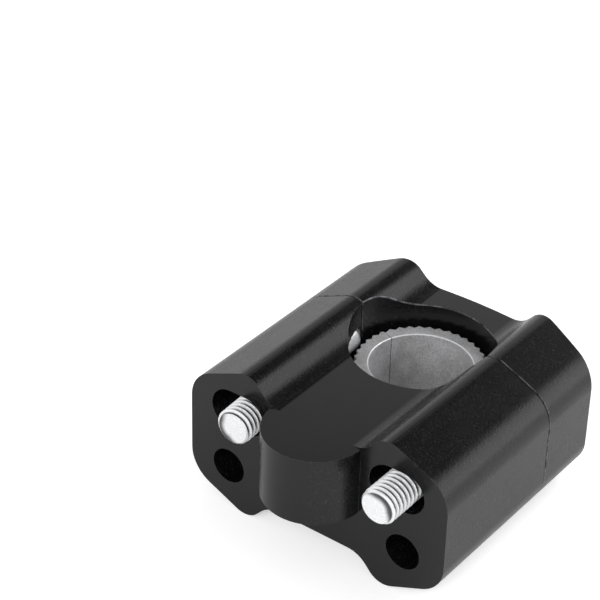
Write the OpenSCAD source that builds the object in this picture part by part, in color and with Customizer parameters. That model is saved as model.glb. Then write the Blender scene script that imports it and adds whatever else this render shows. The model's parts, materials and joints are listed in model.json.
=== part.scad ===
// Handlebar riser: a wavy aluminium block that fills an old handlebar clamp
// and carries the bar in a new clamp further back.
// Origin on the bar's axis at mid height, +Z along the bar, +Y towards the cap.

/* [Block] */
// Width of the block across its two lobes
body_w = 64; // [60:0.5:70]
// Thickness of the waist between the lobes
waist_t = 26; // [24:0.5:28]
// Height over the crests of a lobe
lobe_t = 35.6; // [34:0.2:38]
// Distance between the crests of the two lobes
crest_pitch = 35.8; // [34:0.2:38]
// Radius of a lobe's crest
crest_r = 4.5; // [3:0.1:6]
// Radius of the hollow between waist and lobe
hollow_r = 6; // [4:0.1:7]
// Radius of the outer corners
corner_r = 8; // [6:0.1:10]
// Slope of a lobe's inner flank in degrees
inner_slope = 48; // [42:1:54]
// Slope of a lobe's outer shoulder in degrees
outer_slope = 24; // [20:1:28]
// Distance from the old bar's centre to the new bar's centre
rise = 37; // [34:0.5:50]

/* [Stub] */
// Diameter of the half-round stub that fills the old clamp
stub_d = 22.2; // [20:0.1:25.4]
// Height of the stub, down from the top of the waist
stub_h = 15.7; // [12:0.1:22]

/* [Cap] */
// Depth of the cap at the middle of its back
cap_d = 21.3; // [20:0.1:26]
// Radius of the crowned back
crown_r = 114; // [90:1:200]
// Gap between block and cap before they are drawn together
split_gap = 0.4; // [0.3:0.05:0.8]
// Depth from the split to the seats of the bolt heads
seat_d = 11.6; // [11:0.1:12.5]

/* [Bar bore] */
// Diameter of the handlebar
bar_d = 22.2; // [20:0.1:24]
// Wall of the reducing sleeve, to the tips of its teeth
sleeve_wall = 3.2; // [2.6:0.05:3.4]
// Length of the sleeve
sleeve_l = 16.8; // [14:0.2:20]
// Bevel on the sleeve's inner edges
sleeve_bevel = 0.25; // [0.2:0.05:0.6]
// Number of teeth around the sleeve
tooth_count = 40; // [24:1:60]
// Depth of the teeth
tooth_d = 0.7; // [0.3:0.05:1]
// Width of the slits between the sleeve halves
slit_w = 0.2; // [0.15:0.05:0.6]
// Turn of the slits away from the split in degrees
slit_turn = 21; // [0:1:30]
// Clearance between the teeth and the land that holds them
sleeve_play = 0.1; // [0.1:0.01:0.2]
// Length of the land that holds the sleeve
land_l = 12; // [8:0.5:13]
// Step from the land out to the relief at each end of the bore
relief_step = 1.25; // [0.5:0.05:1.25]

/* [Mounting bolts] */
// Diameter of the mounting bolts
bolt_d = 8; // [6:0.1:8.2]
// Height of the mounting bolts above mid height
bolt_z = 7.4; // [7.2:0.1:7.8]
// Distance of the cap's bolt holes from the middle
bolt_x = 20.2; // [20.2:0.1:20.4]
// Distance by which the left bolt's end leans in towards the middle
bolt_lean_in = 2.8; // [0:0.1:2.8]
// Length by which the left bolt stands out of the front
bolt_reach_left = 4.7; // [4:0.1:14]
// Length by which the right bolt stands out of the front
bolt_reach_right = 7.2; // [4:0.1:14]
// Radial clearance of a mounting bolt in the cap
bolt_play = 0.5; // [0.45:0.05:0.6]
// Clearance between a mounting bolt and the sides of its slot
slot_play = 1.4; // [1:0.1:1.6]
// Distance of the block's slots from the middle
slot_x = 19.9; // [19.7:0.1:20.1]
// Length of the block's slots
slot_l = 13.2; // [13:0.1:14]

/* [Cap screws] */
// Diameter of the cap screws
screw_d = 8; // [6:0.1:8.2]
// Distance of the cap screws from the middle
screw_x = 22.1; // [22:0.1:22.6]
// Depth of the cap screws below mid height
screw_z = 7.2; // [7:0.1:7.4]
// Length of thread that a cap screw has in the block
screw_bite = 18.2; // [10:0.1:24]
// Radial clearance of a cap screw in its threaded hole
thread_play = 0.05; // [0.02:0.01:0.1]
// Radial clearance of a cap screw in the cap
screw_play = 0.4; // [0.2:0.05:0.6]

/* [Heads] */
// Diameter of a head, over the diameter of its bolt
head_ratio = 1.625; // [1.5:0.005:1.625]
// Height of a head
head_h = 8; // [5:0.1:9]
// Width of the hexagon socket across its flats
hex_af = 6; // [5.8:0.1:6.6]
// Depth of the hexagon socket
hex_d = 4.6; // [4.5:0.1:4.9]
// Radial clearance around a head in its counterbore
head_play = 0.25; // [0.15:0.05:0.35]
// Bevel on the bolt ends
tip_bevel = 0.8; // [0.4:0.1:1.2]
// Bevel around the top of a head
head_bevel = 0.6; // [0.3:0.1:1]

/* [Hidden] */
$fn = 96;
black = [0.16, 0.16, 0.17];
bare_aluminium = [0.72, 0.72, 0.73];
zinc_plate = [0.88, 0.89, 0.91];
// Past a face by this much, a cut leaves no skin
over = 1;
// Number of flats on each half of the crowned back
crown_steps = 8;

half_w = body_w / 2;
half_waist = waist_t / 2;
half_lobe = lobe_t / 2;
crest_c = [crest_pitch / 2, half_lobe - crest_r];
// Where the two slopes leave the crest, and the directions across them
inner_out = [-sin(inner_slope), cos(inner_slope)];
outer_out = [sin(outer_slope), cos(outer_slope)];
inner_end = crest_c + crest_r * inner_out;
outer_end = crest_c + crest_r * outer_out;
// The hollow touches the waist and the inner flank
hollow_z = half_waist + hollow_r;
hollow_x = inner_end[0]
    + ((hollow_z - inner_end[1]) * cos(inner_slope) - hollow_r) / sin(inner_slope);
hollow_c = [hollow_x, hollow_z];
hollow_end = hollow_c - hollow_r * inner_out;
// The corner touches the outer shoulder and the side
corner_x = half_w - corner_r;
corner_z = outer_end[1]
    - (corner_r + (corner_x - outer_end[0]) * sin(outer_slope)) / cos(outer_slope);
corner_c = [corner_x, corner_z];
shoulder_end = corner_c + corner_r * outer_out;

bar_r = bar_d / 2;
sleeve_r = bar_r + sleeve_wall;
land_r = sleeve_r + sleeve_play;
relief_r = land_r + relief_step;
front_y = -rise;

slot_w = bolt_d + slot_play;
bolt_head_d = bolt_d * head_ratio;
screw_head_d = screw_d * head_ratio;
screw_hole_d = screw_d + 2 * thread_play;
// The left bolt leans about the middle of its hole in the cap, till its head meets the seat
bolt_lean = atan(bolt_lean_in / (seat_d / 2 + rise + bolt_reach_left));
lean_seat = (seat_d / 2 + bolt_head_d / 2 * sin(bolt_lean)) / cos(bolt_lean);
bolt_len_left = lean_seat + (seat_d / 2 + rise + bolt_reach_left) / cos(bolt_lean);
bolt_len_right = seat_d + rise + bolt_reach_right;
// Distance by which the leaning head moves out from the middle
head_shift = (lean_seat + head_h) * sin(bolt_lean);
screw_len = seat_d + split_gap / 2 + screw_bite;

// Corners of the outline in one quarter, from the waist to the side
function quarter_points() = [
    [hollow_c[0], half_waist], hollow_end, inner_end, outer_end, shoulder_end, [half_w, corner_z]
];
function across(points) = [for (i = [len(points) - 1:-1:0]) [-points[i][0], points[i][1]]];
function below(points) = [for (i = [len(points) - 1:-1:0]) [points[i][0], -points[i][1]]];

// Block with a wavy outline, two lobes joined by a thinner waist, along Y
module wavy_block(y_from, y_to) {
    top = concat(across(quarter_points()), quarter_points());
    depth = y_to - y_from;
    translate([0, y_to, 0]) rotate([90, 0, 0]) difference() {
        union() {
            linear_extrude(depth) polygon(concat(top, below(top)));
            for (sx = [-1, 1], sz = [-1, 1]) {
                translate([sx * crest_c[0], sz * crest_c[1], 0]) cylinder(r = crest_r, h = depth);
                translate([sx * corner_c[0], sz * corner_c[1], 0]) cylinder(r = corner_r, h = depth);
            }
        }
        for (sx = [-1, 1], sz = [-1, 1])
            translate([sx * hollow_c[0], sz * hollow_c[1], -over])
                cylinder(r = hollow_r, h = depth + 2 * over);
    }
}

// Straight round hole along Y
module cross_hole(x, z, d, y_from, y_to) {
    translate([x, y_to, z]) rotate([90, 0, 0]) cylinder(d = d, h = y_to - y_from);
}

// Slot along Y with round ends, w high and w + travel long
module cross_slot(x, z, w, travel, y_from, y_to) {
    for (s = [-1, 1]) cross_hole(x + s * travel / 2, z, w, y_from, y_to);
    translate([x - travel / 2, y_from, z - w / 2]) cube([travel, y_to - y_from, w]);
}

// Bar bore: a land that grips the sleeve, relieved at both ends
module bar_bore() {
    cylinder(r = land_r, h = lobe_t + 2 * over, center = true);
    for (s = [-1, 1])
        translate([0, 0, s * (land_l + lobe_t) / 2])
            cylinder(r = relief_r, h = lobe_t, center = true);
}

module riser_body() {
    y_split = -split_gap / 2;
    color(black) difference() {
        union() {
            wavy_block(front_y, y_split);
            translate([0, front_y, half_waist - stub_h]) cylinder(d = stub_d, h = stub_h);
        }
        bar_bore();
        for (s = [-1, 1]) {
            cross_slot(s * slot_x, bolt_z, slot_w, slot_l - slot_w, front_y - over, over);
            cross_hole(s * screw_x, -screw_z, screw_hole_d, front_y - over, over);
        }
    }
}

// Points along the cap's crowned back, from right to left
function crown_points() = [
    for (i = [crown_steps:-1:-crown_steps])
        let (a = asin((half_w + over) / crown_r) * i / crown_steps)
            [crown_r * sin(a), cap_d - crown_r + crown_r * cos(a)]
];

// Upright prism with the cap's plan: straight at the split, crowned at the back
module crowned_prism() {
    linear_extrude(2 * lobe_t, center = true)
        polygon(concat([[-half_w - over, -over], [half_w + over, -over]], crown_points()));
}

module clamp_cap() {
    y_back = cap_d + over;
    color(black) difference() {
        intersection() {
            wavy_block(split_gap / 2, y_back);
            crowned_prism();
        }
        bar_bore();
        for (s = [-1, 1]) {
            cross_hole(s * bolt_x, bolt_z, bolt_d + 2 * bolt_play, -over, y_back);
            cross_slot(s * (bolt_x + head_shift / 2), bolt_z, bolt_head_d + 2 * head_play, head_shift, seat_d, y_back);
            cross_hole(s * screw_x, -screw_z, screw_d + 2 * screw_play, -over, y_back);
            cross_hole(s * screw_x, -screw_z, screw_head_d + 2 * head_play, seat_d, y_back);
        }
    }
}

// Points of a ring of pointed teeth, tip first
function tooth_ring(count, r_tip, r_root) = [
    for (i = [0:2 * count - 1])
        let (r = i % 2 == 0 ? r_tip : r_root, a = 180 * i / count) [r * cos(a), r * sin(a)]
];

// Half of the reducing sleeve: side 1 lies in the cap, side -1 in the block
module sleeve_half(side) {
    difference() {
        linear_extrude(sleeve_l, center = true)
            polygon(tooth_ring(tooth_count, sleeve_r, sleeve_r - tooth_d));
        cylinder(r = bar_r, h = sleeve_l + 2 * over, center = true);
        for (s = [-1, 1])
            translate([0, 0, s * (sleeve_l - sleeve_bevel) / 2])
                cylinder(
                    r1 = bar_r + (1 - s) / 2 * sleeve_bevel, r2 = bar_r + (1 + s) / 2 * sleeve_bevel,
                    h = sleeve_bevel, center = true
                );
        rotate(-slit_turn)
            translate([-2 * sleeve_r, side > 0 ? slit_w / 2 - 4 * sleeve_r : -slit_w / 2, -sleeve_l])
                cube([4 * sleeve_r, 4 * sleeve_r, 2 * sleeve_l]);
    }
}

module sleeve_front_half() {
    color(bare_aluminium) sleeve_half(-1);
}

module sleeve_rear_half() {
    color(bare_aluminium) sleeve_half(1);
}

// Socket-head bolt along -Y, seated at the origin
module socket_bolt(d, head_d, length) {
    color(zinc_plate) rotate([90, 0, 0]) difference() {
        union() {
            cylinder(d = d, h = length - tip_bevel);
            translate([0, 0, length - tip_bevel])
                cylinder(d1 = d, d2 = d - 2 * tip_bevel, h = tip_bevel);
            translate([0, 0, head_bevel - head_h]) cylinder(d = head_d, h = head_h - head_bevel);
            translate([0, 0, -head_h])
                cylinder(d1 = head_d - 2 * head_bevel, d2 = head_d, h = head_bevel);
        }
        translate([0, 0, -head_h - over])
            cylinder(d = hex_af / cos(30), h = hex_d + over, $fn = 6);
    }
}

module cap_screw(x) {
    translate([x, seat_d, -screw_z]) socket_bolt(screw_d, screw_head_d, screw_len);
}

module mount_bolt_left() {
    translate([-bolt_x, seat_d / 2, bolt_z]) rotate(bolt_lean)
        translate([0, lean_seat, 0]) socket_bolt(bolt_d, bolt_head_d, bolt_len_left);
}

module mount_bolt_right() {
    translate([bolt_x, seat_d, bolt_z]) socket_bolt(bolt_d, bolt_head_d, bolt_len_right);
}

module cap_screw_left() {
    cap_screw(-screw_x);
}

module cap_screw_right() {
    cap_screw(screw_x);
}

riser_body();
clamp_cap();
sleeve_front_half();
sleeve_rear_half();
mount_bolt_left();
mount_bolt_right();
cap_screw_left();
cap_screw_right();
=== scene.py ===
"""Looks of a handlebar riser: black block and cap, bare aluminium sleeve, zinc-plated socket screws.

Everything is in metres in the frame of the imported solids: the origin lies on the bar's axis, +Z runs along
the bar, +Y from the half-round stub to the cap, and X along the line of the screws.
"""

import json
import math

import bpy
import numpy as np
from bpy.props import FloatProperty, FloatVectorProperty, IntProperty, PointerProperty
from mathutils import Matrix, Vector


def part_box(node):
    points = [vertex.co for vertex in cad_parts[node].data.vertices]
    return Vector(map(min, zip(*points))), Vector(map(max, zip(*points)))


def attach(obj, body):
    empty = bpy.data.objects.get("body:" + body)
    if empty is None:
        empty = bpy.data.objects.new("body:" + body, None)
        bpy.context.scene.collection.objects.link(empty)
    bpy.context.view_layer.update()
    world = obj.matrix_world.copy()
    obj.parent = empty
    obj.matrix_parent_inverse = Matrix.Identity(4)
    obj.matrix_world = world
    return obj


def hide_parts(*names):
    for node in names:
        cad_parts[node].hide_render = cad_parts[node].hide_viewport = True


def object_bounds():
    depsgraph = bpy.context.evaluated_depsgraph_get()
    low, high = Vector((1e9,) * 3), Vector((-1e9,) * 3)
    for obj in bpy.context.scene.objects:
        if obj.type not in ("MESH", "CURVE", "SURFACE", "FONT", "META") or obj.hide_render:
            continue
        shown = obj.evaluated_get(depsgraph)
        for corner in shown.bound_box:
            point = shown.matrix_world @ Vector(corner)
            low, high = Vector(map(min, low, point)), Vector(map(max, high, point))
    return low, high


bl_info = {
    "name": "Bar Riser Looks",
    "version": (1, 0, 0),
    "blender": (4, 5, 0),
    "location": "View3D > Sidebar > Riser",
    "description": "Dresses the packed handlebar riser and sets up its studio",
    "category": "Object",
}

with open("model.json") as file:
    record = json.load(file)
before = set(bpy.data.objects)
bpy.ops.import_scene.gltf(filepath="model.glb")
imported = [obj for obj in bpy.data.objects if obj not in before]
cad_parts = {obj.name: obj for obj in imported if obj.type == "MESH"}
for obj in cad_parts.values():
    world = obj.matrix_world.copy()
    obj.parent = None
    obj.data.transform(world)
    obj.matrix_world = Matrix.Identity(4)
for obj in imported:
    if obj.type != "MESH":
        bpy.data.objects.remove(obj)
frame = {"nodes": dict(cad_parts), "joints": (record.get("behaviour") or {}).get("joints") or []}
CAD_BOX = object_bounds()

MM = 0.001
TAU = 2 * math.pi
IMAGE_PIXELS = 600  # the photograph's square frame
BLOCK_NODES = ("riser_body", "clamp_cap")
SLEEVE_NODES = ("sleeve_front_half", "sleeve_rear_half")
MOUNT_BOLTS = {"mount_bolt_left": "bolt_left", "mount_bolt_right": "bolt_right"}
CAP_SCREWS = {"cap_screw_left": "screw_left", "cap_screw_right": "screw_right"}
WELD_GAP = 0.002 * MM  # points closer than this are one
SHARP_ANGLE = math.radians(24)  # edges sharper than this are broken
SMOOTH_ANGLE = math.radians(35)  # faces of a new piece are shaded smooth up to this
STUB_REACH = 11.1 * MM  # how far the stub stands out of the front face
LAMPS = (  # name, place, width, property with its power, whether glossy faces mirror it
    ("key_lamp", (0.35, 0.55, 0.5), 0.6, "key_power", False),
    ("fill_lamp", (0.1, -0.75, 0.45), 0.5, "fill_power", False),
    ("rear_softbox", (0.62, 0.70, 0.36), 0.6, "rear_power", True),
)
FINISHES = {}  # the materials by name, filled when the first one is asked for


# ---------------------------------------------------------------- sizes and colours


class RiserScrewSizes(bpy.types.PropertyGroup):
    """Sizes of the threads and heads that the plain solids leave out."""

    pitch: FloatProperty(
        name="Pitch", description="Distance between two turns of the thread",
        default=1.25 * MM, min=0.5 * MM, unit="LENGTH", precision=5,
    )
    thread_depth: FloatProperty(
        name="Thread depth", description="Depth of the thread from crest to root",
        default=0.72 * MM, min=0.1 * MM, unit="LENGTH", precision=5,
    )
    thread_length: FloatProperty(
        name="Thread length", description="Length of thread on a mounting bolt",
        default=28 * MM, min=5 * MM, unit="LENGTH", precision=4,
    )
    tip_bevel: FloatProperty(
        name="Tip bevel", description="Bevel on the free end of a screw",
        default=0.6 * MM, min=0.1 * MM, unit="LENGTH", precision=4,
    )
    head_to_shank: FloatProperty(
        name="Head to shank", description="Width of a screw head over that of its shank",
        default=1.625, min=1.1, max=3,
    )
    head_height: FloatProperty(
        name="Head height", description="Height of a screw head",
        default=8 * MM, min=2 * MM, unit="LENGTH", precision=4,
    )
    head_bevel: FloatProperty(
        name="Head bevel", description="Bevel around the top of a screw head",
        default=0.6 * MM, min=0.1 * MM, unit="LENGTH", precision=4,
    )
    hex_width: FloatProperty(
        name="Hexagon width", description="Width of the hexagon socket across its flats",
        default=6 * MM, min=1 * MM, unit="LENGTH", precision=4,
    )
    hex_depth: FloatProperty(
        name="Hexagon depth", description="Depth of the hexagon socket",
        default=4.6 * MM, min=1 * MM, unit="LENGTH", precision=4,
    )
    knurl_ridges: IntProperty(
        name="Knurl ridges", description="Number of ridges around a screw head",
        default=48, min=12, max=96,
    )
    knurl_depth: FloatProperty(
        name="Knurl depth", description="Depth of the knurl on a screw head",
        default=0.14 * MM, min=0.0, unit="LENGTH", precision=5,
    )
    hole_radius: FloatProperty(
        name="Hole radius", description="Radius of the two threaded lower holes",
        default=4.05 * MM, min=1 * MM, unit="LENGTH", precision=5,
    )
    hole_thread_depth: FloatProperty(
        name="Hole thread depth", description="Depth of the thread in the lower holes",
        default=0.62 * MM, min=0.1 * MM, unit="LENGTH", precision=5,
    )
    hole_thread_start: FloatProperty(
        name="Hole thread start", description="Plain length of a lower hole before its thread starts",
        default=7 * MM, min=0, unit="LENGTH", precision=4,
    )
    hole_thread_gap: FloatProperty(
        name="Hole thread gap", description="Gap from the end of that thread to the cap screw's tip",
        default=1.2 * MM, min=0, unit="LENGTH", precision=4,
    )


class RiserFinishes(bpy.types.PropertyGroup):
    """Colours and edge sizes of the finishes."""

    anodised_colour: FloatVectorProperty(
        name="Anodised black", description="Colour of the black anodised block and cap",
        subtype="COLOR", size=3, min=0, max=1, default=(0.003, 0.003, 0.0032),
    )
    aluminium_colour: FloatVectorProperty(
        name="Bare aluminium", description="Colour of the reducing sleeve",
        subtype="COLOR", size=3, min=0, max=1, default=(0.62, 0.62, 0.63),
    )
    zinc_colour: FloatVectorProperty(
        name="Zinc plate", description="Colour of the screws",
        subtype="COLOR", size=3, min=0, max=1, default=(0.90, 0.905, 0.92),
    )
    block_edge: FloatProperty(
        name="Block edge", description="Width of the broken edges of the block and the cap",
        default=0.22 * MM, min=0.02 * MM, unit="LENGTH", precision=5,
    )
    sleeve_edge: FloatProperty(
        name="Sleeve edge", description="Width of the broken edges of the sleeve",
        default=0.06 * MM, min=0.01 * MM, unit="LENGTH", precision=5,
    )


class RiserStudio(bpy.types.PropertyGroup):
    """Place of the camera and strength of the lights."""

    camera_place: FloatVectorProperty(
        name="Camera", description="Place of the camera",
        subtype="TRANSLATION", unit="LENGTH", size=3,
        default=(0.200443, -0.313910, 0.268428),
    )
    camera_right: FloatVectorProperty(
        name="Camera right", description="Direction that points right in the picture",
        subtype="DIRECTION", size=3, default=(0.794375, 0.607015, 0.022381),
    )
    camera_back: FloatVectorProperty(
        name="Camera back", description="Direction from the object to the camera",
        subtype="DIRECTION", size=3, default=(0.497211, -0.670961, 0.550084),
    )
    focal_pixels: FloatProperty(
        name="Focal length", description="Focal length in pixels of the square picture",
        default=2149.64, min=100,
    )
    horizon_top: FloatProperty(
        name="Horizon top",
        description="Height in the sky, as a sine, at which the bright horizon has turned to wall",
        default=0.34, min=0, max=1,
    )
    ceiling_edge: FloatProperty(
        name="Ceiling edge",
        description="Height in the sky, as a sine, from which a gloss sees the dark ceiling",
        default=0.67, min=0, max=1,
    )
    horizon_light: FloatProperty(
        name="Horizon light", description="Strength of the horizon as a gloss sees it",
        default=1.15, min=0, max=2,
    )
    wall_light: FloatProperty(
        name="Wall light",
        description="Strength of the wall between horizon and ceiling as a gloss sees it",
        default=0.8, min=0, max=2,
    )
    ceiling_light: FloatProperty(
        name="Ceiling light", description="Strength of the ceiling as a gloss sees it",
        default=0.0, min=0, max=1,
    )
    soft_light: FloatProperty(
        name="Soft light", description="Strength of the light from all around",
        default=0.5, min=0, max=1,
    )
    key_power: FloatProperty(
        name="Key lamp", description="Power of the large lamp behind and over the object",
        default=4.0, min=0, unit="POWER",
    )
    rear_power: FloatProperty(
        name="Rear softbox", description="Power of the softbox behind, which the inner flanks mirror",
        default=1.35, min=0, unit="POWER",
    )
    fill_power: FloatProperty(
        name="Fill lamp", description="Power of the lamp in front",
        default=4.4, min=0, unit="POWER",
    )


# ---------------------------------------------------------------- meshes from arrays


def ring_surface(name, x, y, z):
    """Closed mesh from a grid whose rows are rings of points.

    Point (i, j) joins (i + 1, j), (i + 1, j + 1) and (i, j + 1) in one quad, and the last column joins
    the first. The first and the last ring are closed by a fan to their mean point. Faces look outwards when
    the rings turn from X to Z and the rows run along +Y on the outside.
    """
    rows, columns = x.shape
    points = np.stack([x, y, z], -1).reshape(-1, 3)
    index = np.arange(rows * columns).reshape(rows, columns)
    following = np.roll(index, -1, axis=1)
    quads = np.stack([index[:-1], index[1:], following[1:], following[:-1]], -1).reshape(-1, 4)
    poles = np.stack([points[index[0]].mean(0), points[index[-1]].mean(0)])
    first, last = rows * columns, rows * columns + 1
    fan_first = np.stack([np.full(columns, first), index[0], following[0]], -1)
    fan_last = np.stack([np.full(columns, last), following[-1], index[-1]], -1)
    mesh = bpy.data.meshes.new(name)
    mesh.from_pydata(
        np.concatenate([points, poles]).tolist(), [],
        quads.tolist() + fan_first.tolist() + fan_last.tolist(),
    )
    return add_piece(name, mesh)


def torus_surface(name, x, y, z):
    """Closed mesh from a grid that joins up both ways: last row to first, and last column to first."""
    rows, columns = x.shape
    points = np.stack([x, y, z], -1).reshape(-1, 3)
    index = np.arange(rows * columns).reshape(rows, columns)
    down, across = np.roll(index, -1, axis=0), np.roll(index, -1, axis=1)
    quads = np.stack([index, down, np.roll(down, -1, axis=1), across], -1).reshape(-1, 4)
    mesh = bpy.data.meshes.new(name)
    mesh.from_pydata(points.tolist(), [], quads.tolist())
    return add_piece(name, mesh)


def add_piece(name, mesh):
    """New object at the origin with smooth faces, and sharp edges past SMOOTH_ANGLE."""
    mesh.validate()
    mesh.shade_smooth()
    mesh.set_sharp_from_angle(angle=SMOOTH_ANGLE)
    piece = bpy.data.objects.new(name, mesh)
    bpy.context.scene.collection.objects.link(piece)
    return piece


def thread_profile(phase):
    """Height of a rolled thread from 0 at the root to 1 at the crest, over the phase in turns.

    The distance to the nearest crest runs from 0 to half a turn. The crest is flat for a sixteenth of a
    turn each side and the root for an eighth. The flank between is half straight slope, half smooth step.
    """
    crest_end, root_start = 1 / 16, 3 / 8
    distance = np.abs(phase - np.round(phase))
    rise = np.clip((root_start - distance) / (root_start - crest_end), 0, 1)
    return 0.5 * rise + 0.5 * rise * rise * (3 - 2 * rise)


def hexagon_radius(angle, width):
    """Distance from the centre to a hexagon's side, by its width across flats, with a corner at angle 0."""
    from_middle = np.mod(angle, math.pi / 3) - math.pi / 6
    return width / 2 / np.cos(from_middle)


# ---------------------------------------------------------------- screws


def turning_axis(body):
    """Point on the axis about which a body turns, and the axis's direction, as arrays."""
    joint = next(j for j in frame["joints"] if j["child"] == body)
    along = np.array(joint["axis"])
    return np.array(joint["pos_m"]), along / np.linalg.norm(along)


def reach_along(node, foot, along):
    """Lowest and highest place of a solid along an axis through foot, and its largest radius around it."""
    mesh = frame["nodes"][node].data
    points = np.empty(len(mesh.vertices) * 3)
    mesh.vertices.foreach_get("co", points)
    points = points.reshape(-1, 3) - foot
    places = points @ along
    radii = np.linalg.norm(points - np.outer(places, along), axis=1)
    return places.min(), places.max(), radii.max()


def threaded_shank(tip_y, seat_y, shank_r, thread_length, angle, sizes):
    """Rows of places and radii from the free end to the head, and how deep in the thread its points lie.

    The radius is that of the shank less the thread's depth times one minus the thread profile, at phase
    -y / pitch - angle / turn, so that the thread is right-handed. The thread fades out over its last turn,
    and the free end is cut by a cone of 45 degrees. A quarter-round fillet leads into the head.
    """
    rows_per_turn, least_plain, run_out, fillet = 12, 1.0 * MM, 0.1 * MM, 0.35 * MM
    thread_end = min(tip_y + thread_length, seat_y - least_plain)
    y = rows_around(np.arange(tip_y, thread_end, sizes.pitch / rows_per_turn), angle)
    height = thread_profile(-y / sizes.pitch - angle / TAU)
    root = (1 - height) * np.clip((thread_end - y) / sizes.pitch, 0, 1)
    cone = shank_r - sizes.tip_bevel + (y - tip_y)
    radius = np.minimum(shank_r - sizes.thread_depth * root, cone)
    turn = np.linspace(0, math.pi / 2, 4)
    plain_y = np.concatenate([[thread_end + run_out], seat_y - fillet + fillet * np.sin(turn)])
    plain_r = np.concatenate([[shank_r], shank_r + fillet * (1 - np.cos(turn))])
    y = np.concatenate([y, rows_around(plain_y, angle)])
    return y, np.concatenate([radius, rows_around(plain_r, angle)]), root


def knurled_side(seat_y, top_y, head_r, angle, sizes):
    """Rows of places and radii up the head's side: a bevel, the knurl, a plain band and a round top edge.

    The knurl cuts half its depth times one minus cos(ridges * angle) out of the rows marked as knurled.
    """
    share_of_height = np.array([0.0, 0.25, 0.35, 4.5, 5.2, 5.9, 6.1, 7.0]) / 8
    knurled = np.array([0, 0, 1, 1, 1, 1, 0, 0])
    seat_bevel = 0.3 * MM, 0.05 * MM
    side_r = np.full(knurled.shape, head_r)
    side_r[:2] -= seat_bevel
    ridge = 0.5 - 0.5 * np.cos(sizes.knurl_ridges * angle)
    radius = side_r[:, None] - sizes.knurl_depth * knurled[:, None] * ridge
    bevel = sizes.head_bevel
    turn = np.linspace(0, math.pi / 2, 5)
    side_y = seat_y + share_of_height * sizes.head_height
    edge_y = top_y - bevel + bevel * np.sin(turn)
    edge_r = rows_around(head_r - bevel + bevel * np.cos(turn), angle)
    return rows_around(np.concatenate([side_y, edge_y]), angle), np.concatenate([radius, edge_r])


def hexagon_socket(top_y, angle, sizes):
    """Rows of places and radii down the socket: its countersunk mouth, its walls and its floor.

    A ring of the mouth is the larger of the hexagon and a cone of 45 degrees, which starts a little wider
    than the hexagon's corners.
    """
    hexagon = hexagon_radius(angle, sizes.hex_width)
    wider, wall_foot, floor_rise = 0.12 * MM, 0.2 * MM, 0.02 * MM
    sunk = np.array([0.0, 0.15, 0.3, 0.45, 0.6]) * MM
    cone = hexagon.max() + wider - sunk
    mouth = np.maximum(hexagon[None, :], cone[:, None])
    floor_y = top_y - sizes.hex_depth
    y = np.concatenate([top_y - sunk, [floor_y + wall_foot, floor_y + floor_rise, floor_y, floor_y]])
    inside = np.array([1.0, 0.985, 0.6, 0.05])[:, None] * hexagon
    return rows_around(y, angle), np.concatenate([mouth, inside])


def rows_around(values, angle):
    """One value per row, repeated for each angle."""
    return np.asarray(values)[:, None] * np.ones(angle.size)


def socket_screw(name, node, body, thread_length, sizes):
    """Socket-head screw in the place of a solid, worked out over places along its axis and angles.

    Its rows run up the threaded shank, up the knurled side of the head and down into the hexagon socket.
    A point at radius r is foot + r cos(angle) sideways + y along + r sin(angle) upright. The axis and the
    ends are those of the solid, so a leaning screw leans here too. The depth in the thread is kept as an
    attribute for the painted shade in the thread roots.
    """
    foot, along = turning_axis(body)
    sideways = np.array([along[1], -along[0], 0]) / math.hypot(along[0], along[1])
    upright = np.cross(sideways, along)
    tip_y, top_y, head_r = reach_along(node, foot, along)
    seat_y = top_y - sizes.head_height
    shank_r = head_r / sizes.head_to_shank
    points_per_ridge = 3
    around = points_per_ridge * sizes.knurl_ridges
    angle = np.arange(around) * TAU / around

    shank_y, shank, root = threaded_shank(tip_y, seat_y, shank_r, thread_length, angle, sizes)
    side_y, side = knurled_side(seat_y, top_y, head_r, angle, sizes)
    socket_y, socket = hexagon_socket(top_y, angle, sizes)
    y, r = np.concatenate([shank_y, side_y, socket_y]), np.concatenate([shank, side, socket])
    x, z = r * np.cos(angle), r * np.sin(angle)
    place = foot + x[..., None] * sideways + y[..., None] * along + z[..., None] * upright
    piece = ring_surface(name, *np.moveaxis(place, -1, 0))
    depths = np.zeros(len(piece.data.vertices), dtype=np.float32)
    depths[:root.size] = root.ravel()
    piece.data.attributes.new("thread_root", "FLOAT", "POINT").data.foreach_set("value", depths)
    dress(piece, "zinc_plate")
    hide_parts(node)
    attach(piece, body)


def threaded_liner(name, x0, z0, y_from, y_to, sizes):
    """Thread in the free end of a drilled hole: a closed tube whose inner side is helical.

    The rows run up the inner side, whose radius is that of the hole less the thread's depth times the
    thread profile, faded over one turn at both ends. They run back down the outer side, which lies in the
    metal.
    """
    around, rows_per_turn = 96, 10
    proud, sunk = 0.02 * MM, 0.3 * MM
    angle = np.arange(around) * TAU / around
    y_inner = rows_around(np.arange(y_from, y_to, sizes.pitch / rows_per_turn), angle)
    height = thread_profile(-y_inner / sizes.pitch - angle / TAU)
    fade = np.clip(np.minimum(y_inner - y_from, y_to - y_inner) / sizes.pitch, 0, 1)
    inner = sizes.hole_radius - proud - sizes.hole_thread_depth * height * fade
    y_outer = rows_around([y_to, y_from], angle)
    outer = np.full(y_outer.shape, sizes.hole_radius + sunk)
    y, r = np.concatenate([y_inner, y_outer])[::-1], np.concatenate([inner, outer])[::-1]
    return torus_surface(name, x0 + r * np.cos(angle), y, z0 + r * np.sin(angle))


# ---------------------------------------------------------------- node groups and materials


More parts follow.
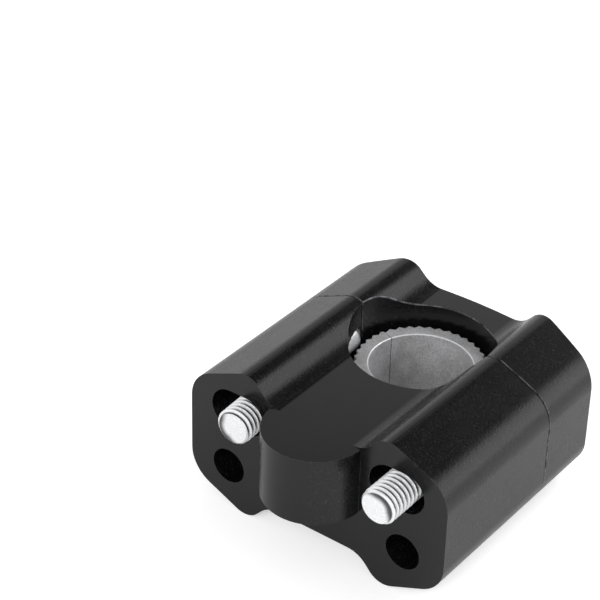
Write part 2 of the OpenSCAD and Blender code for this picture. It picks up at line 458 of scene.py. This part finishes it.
def new_group(name, inputs, outputs):
    """Empty shader node group with named float, vector or colour sockets."""
    group = bpy.data.node_groups.new(name, "ShaderNodeTree")
    for label, kind, value in inputs:
        socket = group.interface.new_socket(label, in_out="INPUT", socket_type=kind)
        socket.default_value = value
    for label, kind in outputs:
        group.interface.new_socket(label, in_out="OUTPUT", socket_type=kind)
    return group, group.nodes.new("NodeGroupInput"), group.nodes.new("NodeGroupOutput")


def math_node(tree, operation, first, second=0.0):
    """Math node with each input either a socket or a number."""
    node = tree.nodes.new("ShaderNodeMath")
    node.operation = operation
    for socket, value in zip(node.inputs, (first, second)):
        plug(tree, socket, value)
    return node.outputs[0]


def weighted_sum(tree, base, *terms):
    """The base plus each term's value times its weight, all of them sockets or numbers."""
    total = base
    for value, weight in terms:
        total = math_node(tree, "ADD", total, math_node(tree, "MULTIPLY", value, weight))
    return total


def plug(tree, socket, value):
    """Links a socket to the input, or sets the input to a number or colour."""
    if isinstance(value, bpy.types.NodeSocket):
        tree.links.new(value, socket)
    else:
        socket.default_value = value


def split_vector(tree, vector):
    """The X, Y and Z of a vector, by name."""
    split = tree.nodes.new("ShaderNodeSeparateXYZ")
    tree.links.new(vector, split.inputs[0])
    return split.outputs


def facing(tree, axis):
    """How far a face looks along an axis of the object, either way, from 0 to 1."""
    place = tree.nodes.new("ShaderNodeTexCoord")
    return math_node(tree, "ABSOLUTE", split_vector(tree, place.outputs["Normal"])[axis])


def object_millimetres(tree):
    """Object coordinates in millimetres."""
    place = tree.nodes.new("ShaderNodeTexCoord")
    scale = tree.nodes.new("ShaderNodeVectorMath")
    scale.operation = "SCALE"
    scale.inputs["Scale"].default_value = 1000
    tree.links.new(place.outputs["Object"], scale.inputs[0])
    return scale.outputs[0]


def noise(tree, where, scale, detail=2.0, roughness=0.5):
    """Noise from 0 to 1 at the given number of features per millimetre."""
    node = tree.nodes.new("ShaderNodeTexNoise")
    tree.links.new(where, node.inputs["Vector"])
    plug(tree, node.inputs["Scale"], scale)
    node.inputs["Detail"].default_value = detail
    node.inputs["Roughness"].default_value = roughness
    return node.outputs["Fac"]


def between(tree, value, low, high, to_low=0.0, to_high=1.0):
    """Smooth step of a value from low..high to to_low..to_high."""
    node = tree.nodes.new("ShaderNodeMapRange")
    node.interpolation_type = "SMOOTHSTEP"
    labels = ("Value", "From Min", "From Max", "To Min", "To Max")
    for label, x in zip(labels, (value, low, high, to_low, to_high)):
        plug(tree, node.inputs[label], x)
    return node.outputs["Result"]


def blasted_grain():
    """Group: pitted grain as a height, made of noise and cells, and sparse flecks as a mask."""
    group, given, made = new_group(
        "blasted_grain",
        [("Grain per mm", "NodeSocketFloat", 4.0), ("Fleck share", "NodeSocketFloat", 0.3)],
        [("Height", "NodeSocketFloat"), ("Flecks", "NodeSocketFloat")],
    )
    where = object_millimetres(group)
    pits = noise(group, where, given.outputs["Grain per mm"], detail=1.0)
    cells = group.nodes.new("ShaderNodeTexVoronoi")
    group.links.new(where, cells.inputs["Vector"])
    group.links.new(given.outputs["Grain per mm"], cells.inputs["Scale"])
    height = weighted_sum(group, pits, (cells.outputs["Distance"], 0.4))
    fine = noise(group, where, math_node(group, "MULTIPLY", given.outputs["Grain per mm"], 1.3), detail=1.0)
    fleck_from = weighted_sum(group, 0.75, (given.outputs["Fleck share"], -0.3))
    flecks = between(group, fine, fleck_from, math_node(group, "ADD", fleck_from, 0.08))
    group.links.new(height, made.inputs["Height"])
    group.links.new(flecks, made.inputs["Flecks"])
    return group


def soft_variation():
    """Group: slow uneven shade over the surface, from 0 to 1, from two noises of different size."""
    group, given, made = new_group(
        "soft_variation", [("Patches per mm", "NodeSocketFloat", 0.2)], [("Value", "NodeSocketFloat")],
    )
    where = object_millimetres(group)
    wide = noise(group, where, given.outputs["Patches per mm"], detail=3.0, roughness=0.6)
    fine = noise(group, where, math_node(group, "MULTIPLY", given.outputs["Patches per mm"], 7.0))
    mixed = weighted_sum(group, 0.0, (wide, 0.7), (fine, 0.3))
    group.links.new(between(group, mixed, 0.35, 0.65), made.inputs["Value"])
    return group


def new_material(name, colour, metallic, roughness):
    """Material with a Principled shader at plain values, its tree and its shader."""
    material = bpy.data.materials.new(name)
    material.use_nodes = True
    tree = material.node_tree
    shader = tree.nodes["Principled BSDF"]
    shader.inputs["Base Color"].default_value = (*colour, 1)
    shader.inputs["Metallic"].default_value = metallic
    shader.inputs["Roughness"].default_value = roughness
    material.diffuse_color = (*colour, 1)
    return material, tree, shader


def use_group(tree, group, **values):
    """Group node with its inputs set."""
    node = tree.nodes.new("ShaderNodeGroup")
    node.node_tree = group
    for label, value in values.items():
        plug(tree, node.inputs[label.replace("_", " ")], value)
    return node


def mix_colour(tree, share, first, second):
    """Colour mix of two colours or colour sockets."""
    node = tree.nodes.new("ShaderNodeMix")
    node.data_type = "RGBA"
    plug(tree, node.inputs[0], share)
    for socket, value in ((node.inputs[6], first), (node.inputs[7], second)):
        plug(tree, socket, (*value, 1) if isinstance(value, tuple) else value)
    return node.outputs[2]


def bump(tree, height, distance, strength):
    """Bump node in which a height of one stands for the given distance in metres."""
    node = tree.nodes.new("ShaderNodeBump")
    node.inputs["Strength"].default_value = strength
    node.inputs["Distance"].default_value = distance
    tree.links.new(height, node.inputs["Height"])
    return node.outputs["Normal"]


def shade(colour, factor):
    """A colour made lighter or darker by a factor, as a tuple."""
    return tuple(min(1.0, c * factor) for c in colour)


def anodised_material(groups, finishes):
    """Black anodising: blasted grain on the shaped outside, smooth on the flat machined faces.

    The machined faces are those across Y and those across Z, told by the face's own normal.
    """
    black = tuple(finishes.anodised_colour)
    machined_grain, fleck_strength, fleck_shade = 0.04, 0.6, 20.0
    material, tree, shader = new_material("blasted_black", black, metallic=0.0, roughness=0.42)
    shader.inputs["Specular IOR Level"].default_value = 0.42
    grain = use_group(tree, groups["grain"], Grain_per_mm=2.8, Fleck_share=0.38)
    patches = use_group(tree, groups["patches"], Patches_per_mm=0.12).outputs["Value"]
    across_y = between(tree, facing(tree, "Y"), 0.8, 0.95)
    across_z = between(tree, facing(tree, "Z"), 0.985, 0.999)
    blasted = math_node(tree, "SUBTRACT", 1.0, math_node(tree, "MAXIMUM", across_y, across_z))
    grain_share = math_node(tree, "ADD", machined_grain, blasted)
    height = math_node(tree, "MULTIPLY", grain.outputs["Height"], grain_share)
    flecks = math_node(tree, "MULTIPLY", grain.outputs["Flecks"], blasted)
    colour = mix_colour(tree, patches, shade(black, 0.9), shade(black, 1.12))
    fleck_mix = math_node(tree, "MULTIPLY", flecks, fleck_strength)
    colour = mix_colour(tree, fleck_mix, colour, shade(black, fleck_shade))
    tree.links.new(colour, shader.inputs["Base Color"])
    roughness = weighted_sum(tree, 0.17, (patches, 0.04), (blasted, 0.08), (flecks, -0.1))
    tree.links.new(roughness, shader.inputs["Roughness"])
    tree.links.new(bump(tree, height, distance=0.04 * MM, strength=0.85), shader.inputs["Normal"])
    return material


def edge_material(groups, finishes):
    """The broken edges, lighter in patches: partly anodising worn thin by handling, partly a painted
    highlight.
    """
    black = tuple(finishes.anodised_colour)
    dull, even, worn_and_highlit = 8.0, 36.0, 75.0
    material, tree, shader = new_material("broken_edge", shade(black, even), metallic=0.6, roughness=0.35)
    patches = use_group(tree, groups["patches"], Patches_per_mm=0.5).outputs["Value"]
    # partly worn anodising, partly painted highlight: the edges run from dark to light in patches
    colour = mix_colour(tree, patches, shade(black, dull), shade(black, worn_and_highlit))
    tree.links.new(colour, shader.inputs["Base Color"])
    return material


def aluminium_material(groups, finishes):
    """Bare aluminium: dark speckle, slow stains, and a painted highlight that lightens the bevels between
    side and end.
    """
    grey = tuple(finishes.aluminium_colour)
    fleck_strength, fleck_shade, bevel_highlight = 0.5, 0.5, 1.5
    material, tree, shader = new_material("turned_aluminium", grey, metallic=0.4, roughness=0.42)
    grain = use_group(tree, groups["grain"], Grain_per_mm=2.4, Fleck_share=0.7)
    patches = use_group(tree, groups["patches"], Patches_per_mm=0.25).outputs["Value"]
    colour = mix_colour(tree, patches, shade(grey, 0.86), shade(grey, 1.12))
    fleck_mix = math_node(tree, "MULTIPLY", grain.outputs["Flecks"], fleck_strength)
    colour = mix_colour(tree, fleck_mix, colour, shade(grey, fleck_shade))
    up = facing(tree, "Z")
    # painted highlight: faces that slope between side and end are made lighter
    bevel_highlit = math_node(tree, "MULTIPLY", between(tree, up, 0.45, 0.6), between(tree, up, 0.95, 0.8))
    colour = mix_colour(tree, bevel_highlit, colour, shade(grey, bevel_highlight))
    tree.links.new(colour, shader.inputs["Base Color"])
    roughness = weighted_sum(tree, 0.34, (grain.outputs["Height"], 0.12))
    tree.links.new(roughness, shader.inputs["Roughness"])
    relief = bump(tree, grain.outputs["Height"], distance=0.03 * MM, strength=0.7)
    tree.links.new(relief, shader.inputs["Normal"])
    return material


def zinc_material(groups, finishes):
    """Bright zinc plate with a light haze, and painted shade that darkens the roots of the threads."""
    pale = tuple(finishes.zinc_colour)
    root_painted_shade = 0.08
    material, tree, shader = new_material("zinc_plate", pale, metallic=0.35, roughness=0.24)
    grain = use_group(tree, groups["grain"], Grain_per_mm=5.0, Fleck_share=0.4)
    patches = use_group(tree, groups["patches"], Patches_per_mm=0.6).outputs["Value"]
    colour = mix_colour(tree, patches, shade(pale, 0.98), shade(pale, 1.02))
    root = tree.nodes.new("ShaderNodeAttribute")
    root.attribute_name = "thread_root"
    # painted shade: the colour darkens deep in the thread, in its roots
    shaded_root = between(tree, root.outputs["Fac"], 0.5, 0.95)
    colour = mix_colour(tree, shaded_root, colour, shade(pale, root_painted_shade))
    tree.links.new(colour, shader.inputs["Base Color"])
    roughness = weighted_sum(tree, 0.2, (patches, 0.1))
    tree.links.new(roughness, shader.inputs["Roughness"])
    relief = bump(tree, grain.outputs["Height"], distance=0.005 * MM, strength=0.4)
    tree.links.new(relief, shader.inputs["Normal"])
    return material


def material_of(name):
    """The named finish, made with the others when the first one is asked for."""
    if not FINISHES:
        finishes = bpy.context.scene.riser_finishes
        groups = {"grain": blasted_grain(), "patches": soft_variation()}
        for make in (anodised_material, edge_material, aluminium_material, zinc_material):
            material = make(groups, finishes)
            FINISHES[material.name] = material
    return FINISHES[name]


def dress(piece, *materials):
    """Gives the piece these materials, in the order of its material slots."""
    piece.data.materials.clear()
    for name in materials:
        piece.data.materials.append(material_of(name))


def spared_rims():
    """Geometry nodes that part the cap's sharp counterbore rims where they come close to its sides.

    A crease of the crowned back runs along there, and a bevel across it would fold the face over. Parted
    edges get no bevel.
    """
    behind, nearest, farthest, half_height = 12.5 * MM, 28.2 * MM, 29.1 * MM, 11 * MM
    group = bpy.data.node_groups.new("spared_rims", "GeometryNodeTree")
    group.interface.new_socket("Geometry", in_out="INPUT", socket_type="NodeSocketGeometry")
    group.interface.new_socket("Geometry", in_out="OUTPUT", socket_type="NodeSocketGeometry")
    given, made = group.nodes.new("NodeGroupInput"), group.nodes.new("NodeGroupOutput")
    place = split_vector(group, group.nodes.new("GeometryNodeInputPosition").outputs[0])
    out = math_node(group, "ABSOLUTE", place["X"])
    tests = (
        ("GREATER_THAN", group.nodes.new("GeometryNodeInputMeshEdgeAngle").outputs[0], SHARP_ANGLE),
        ("GREATER_THAN", place["Y"], behind),
        ("GREATER_THAN", out, nearest),
        ("LESS_THAN", out, farthest),
        ("LESS_THAN", math_node(group, "ABSOLUTE", place["Z"]), half_height),
    )
    spared = 1.0
    for test in tests:
        spared = math_node(group, "MULTIPLY", math_node(group, *test), spared)
    part = group.nodes.new("GeometryNodeSplitEdges")
    group.links.new(given.outputs[0], part.inputs[0])
    group.links.new(spared, part.inputs["Selection"])
    group.links.new(part.outputs[0], made.inputs[0])
    return group


def join_points(piece, name):
    """Modifier that joins the points of loose triangles."""
    weld = piece.modifiers.new(name, "WELD")
    weld.merge_threshold = WELD_GAP


def break_edges(piece, width, edge_slot=-1, segments=2, spared=None):
    """Modifiers that join a solid's loose triangles, break its sharp edges and level its faces' normals.

    The geometry nodes in spared, where given, part the edges that stay as they are.
    """
    join_points(piece, "join")
    planar = piece.modifiers.new("planes", "DECIMATE")
    planar.decimate_type = "DISSOLVE"
    planar.angle_limit = math.radians(0.5)
    if spared:
        piece.modifiers.new("spared", "NODES").node_group = spared
    bevel = piece.modifiers.new("edges", "BEVEL")
    bevel.width = width
    bevel.segments = segments
    bevel.limit_method = "ANGLE"
    bevel.angle_limit = SHARP_ANGLE
    bevel.material = edge_slot
    bevel.loop_slide = False
    bevel.use_clamp_overlap = not spared
    if spared:
        join_points(piece, "rejoin")
    normals = piece.modifiers.new("normals", "WEIGHTED_NORMAL")
    normals.keep_sharp = False
    normals.weight = 60


# ---------------------------------------------------------------- operators


class RISER_OT_block(bpy.types.Operator):
    """Finish the block and the cap: black anodising with broken edges."""

    bl_idname = "riser.block"
    bl_label = "Finish block and cap"

    def execute(self, context):
        for name in BLOCK_NODES:
            node = frame["nodes"][name]
            dress(node, "blasted_black", "broken_edge")
            node.data.shade_smooth()
            spared = spared_rims() if name == "clamp_cap" else None
            break_edges(node, context.scene.riser_finishes.block_edge, edge_slot=1, spared=spared)
        return {"FINISHED"}


class RISER_OT_sleeve(bpy.types.Operator):
    """Finish the two halves of the serrated reducing sleeve in bare aluminium."""

    bl_idname = "riser.sleeve"
    bl_label = "Finish reducing sleeve"

    def execute(self, context):
        for name in SLEEVE_NODES:
            node = frame["nodes"][name]
            dress(node, "turned_aluminium")
            node.data.shade_smooth()
            break_edges(node, context.scene.riser_finishes.sleeve_edge, segments=1)
        return {"FINISHED"}


class RISER_OT_bolts(bpy.types.Operator):
    """Make the two long mounting bolts with their threads and knurled heads."""

    bl_idname = "riser.bolts"
    bl_label = "Make mounting bolts"

    def execute(self, context):
        sizes = context.scene.riser_screws
        for node, body in MOUNT_BOLTS.items():
            socket_screw("threaded_" + node, node, body, sizes.thread_length, sizes)
        return {"FINISHED"}


class RISER_OT_screws(bpy.types.Operator):
    """Make the two cap screws, threaded all along."""

    bl_idname = "riser.screws"
    bl_label = "Make cap screws"

    def execute(self, context):
        sizes = context.scene.riser_screws
        for node, body in CAP_SCREWS.items():
            socket_screw("threaded_" + node, node, body, math.inf, sizes)
        return {"FINISHED"}


class RISER_OT_hole_threads(bpy.types.Operator):
    """Make the threads in the free front ends of the two lower holes."""

    bl_idname = "riser.hole_threads"
    bl_label = "Make hole threads"

    def execute(self, context):
        sizes = context.scene.riser_screws
        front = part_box("riser_body")[0].y + STUB_REACH
        for node in CAP_SCREWS:
            low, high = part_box(node)
            name = "hole_thread_" + node.rsplit("_", 1)[1]
            x, z = (low.x + high.x) / 2, (low.z + high.z) / 2
            y_from, y_to = front + sizes.hole_thread_start, low.y - sizes.hole_thread_gap
            piece = threaded_liner(name, x, z, y_from, y_to, sizes)
            dress(piece, "blasted_black")
            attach(piece, "block")
        return {"FINISHED"}


class RISER_OT_stage(bpy.types.Operator):
    """Set up the floor, the lamps, the world and the camera."""

    bl_idname = "riser.stage"
    bl_label = "Set up studio"

    def execute(self, context):
        studio = context.scene.riser_studio
        add_floor(CAD_BOX[0].z)
        add_world(studio)
        for name, place, width, power, mirrored in LAMPS:
            add_lamp(name, place, width, getattr(studio, power), mirrored)
        add_camera(studio)
        context.scene.view_settings.view_transform = "Standard"
        return {"FINISHED"}


def seen_straight(tree, path):
    """One where the camera looks, straight or through a glass, and zero elsewhere."""
    return math_node(tree, "MAXIMUM", path.outputs["Is Camera Ray"], path.outputs["Is Transmission Ray"])


def add_floor(height):
    """Floor that keeps the shadow: a diffuse white sheet that glows where it is seen."""
    half, seen_glow, gloss_glow = 3.0, 0.5, 0.1
    corners = [(half * x, half * y, height) for x, y in ((-1, -1), (1, -1), (1, 1), (-1, 1))]
    mesh = bpy.data.meshes.new("floor")
    mesh.from_pydata(corners, [], [(0, 1, 2, 3)])
    floor = bpy.data.objects.new("floor", mesh)
    bpy.context.scene.collection.objects.link(floor)
    material, tree, shader = new_material("floor_white", (0.8, 0.8, 0.8), metallic=0.0, roughness=1.0)
    shader.inputs["Specular IOR Level"].default_value = 0.0
    path = tree.nodes.new("ShaderNodeLightPath")
    seen, glossy = seen_straight(tree, path), path.outputs["Is Glossy Ray"]
    lift = weighted_sum(tree, 0.0, (seen, seen_glow), (glossy, gloss_glow))
    glow = tree.nodes.new("ShaderNodeEmission")
    tree.links.new(lift, glow.inputs["Strength"])
    both = tree.nodes.new("ShaderNodeAddShader")
    tree.links.new(shader.outputs[0], both.inputs[0])
    tree.links.new(glow.outputs[0], both.inputs[1])
    tree.links.new(both.outputs[0], tree.nodes["Material Output"].inputs["Surface"])
    mesh.materials.append(material)


def add_world(studio):
    """White world where it is seen straight, and a plain grey light for everything else.

    A gloss sees it white around the horizon, grey above that and dark overhead, as in a studio with a black
    ceiling. Heights in the sky are sines, from 0 at the horizon to 1 overhead.
    """
    horizon_end, ceiling_blur = 0.05, 0.1
    world = bpy.data.worlds.new("studio")
    bpy.context.scene.world = world
    world.use_nodes = True
    tree = world.node_tree
    path = tree.nodes.new("ShaderNodeLightPath")
    seen, glossy = seen_straight(tree, path), path.outputs["Is Glossy Ray"]
    way = tree.nodes.new("ShaderNodeTexCoord")
    up = split_vector(tree, way.outputs["Generated"])["Z"]
    wall = between(tree, up, horizon_end, studio.horizon_top, studio.horizon_light, studio.wall_light)
    ceiling_from = studio.ceiling_edge - ceiling_blur
    open_sky = between(tree, up, ceiling_from, studio.ceiling_edge, 1.0, studio.ceiling_light)
    mirrored = math_node(tree, "MULTIPLY", wall, open_sky)
    other = math_node(tree, "SUBTRACT", 1.0, math_node(tree, "MAXIMUM", seen, glossy))
    strength = weighted_sum(tree, seen, (glossy, mirrored), (other, studio.soft_light))
    background = tree.nodes["Background"]
    background.inputs["Color"].default_value = (1, 1, 1, 1)
    tree.links.new(strength, background.inputs["Strength"])


def add_lamp(name, place, width, power, mirrored):
    """Square area lamp that looks at the object. Glossy faces mirror it only where that is asked for."""
    lamp = bpy.data.lights.new(name, "AREA")
    lamp.shape = "SQUARE"
    lamp.size = width
    lamp.energy = power
    holder = bpy.data.objects.new(name, lamp)
    bpy.context.scene.collection.objects.link(holder)
    holder.location = place
    holder.rotation_euler = (-Vector(place)).to_track_quat("-Z", "Y").to_euler()
    holder.visible_glossy = mirrored


def add_camera(studio):
    """Camera at the photograph's place, turn and focal length."""
    back = Vector(studio.camera_back).normalized()
    right = Vector(studio.camera_right).normalized()
    up = back.cross(right)
    data = bpy.data.cameras.new("camera")
    data.sensor_width = 36
    data.lens = data.sensor_width * studio.focal_pixels / IMAGE_PIXELS
    data.clip_start, data.clip_end = 0.01, 20
    camera = bpy.data.objects.new("camera", data)
    bpy.context.scene.collection.objects.link(camera)
    turn = Matrix((right, up, back)).transposed()
    camera.matrix_world = Matrix.Translation(Vector(studio.camera_place)) @ turn.to_4x4()
    bpy.context.scene.camera = camera


class RISER_PT_panel(bpy.types.Panel):
    """Lists the pieces of the riser and the studio."""

    bl_label = "Bar riser"
    bl_idname = "RISER_PT_panel"
    bl_space_type = "VIEW_3D"
    bl_region_type = "UI"
    bl_category = "Riser"

    def draw(self, context):
        for operator in OPERATORS:
            self.layout.operator(operator.bl_idname)
        for label, group in (
            ("Screws", context.scene.riser_screws),
            ("Finishes", context.scene.riser_finishes),
            ("Studio", context.scene.riser_studio),
        ):
            box = self.layout.box()
            box.label(text=label)
            for name in group.__annotations__:
                box.prop(group, name)


OPERATORS = (
    RISER_OT_block, RISER_OT_sleeve, RISER_OT_bolts, RISER_OT_screws, RISER_OT_hole_threads, RISER_OT_stage,
)
CLASSES = (RiserScrewSizes, RiserFinishes, RiserStudio, *OPERATORS, RISER_PT_panel)


def register():
    for cls in CLASSES:
        bpy.utils.register_class(cls)
    bpy.types.Scene.riser_screws = PointerProperty(type=RiserScrewSizes)
    bpy.types.Scene.riser_finishes = PointerProperty(type=RiserFinishes)
    bpy.types.Scene.riser_studio = PointerProperty(type=RiserStudio)


def unregister():
    del bpy.types.Scene.riser_studio
    del bpy.types.Scene.riser_finishes
    del bpy.types.Scene.riser_screws
    for cls in reversed(CLASSES):
        bpy.utils.unregister_class(cls)


def main():
    """Registers the classes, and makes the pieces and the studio."""
    register()
    bpy.ops.riser.block()
    bpy.ops.riser.sleeve()
    bpy.ops.riser.bolts()
    bpy.ops.riser.screws()
    bpy.ops.riser.hole_threads()
    bpy.ops.riser.stage()
    bpy.context.view_layer.update()


if __name__ == "__main__":
    main()
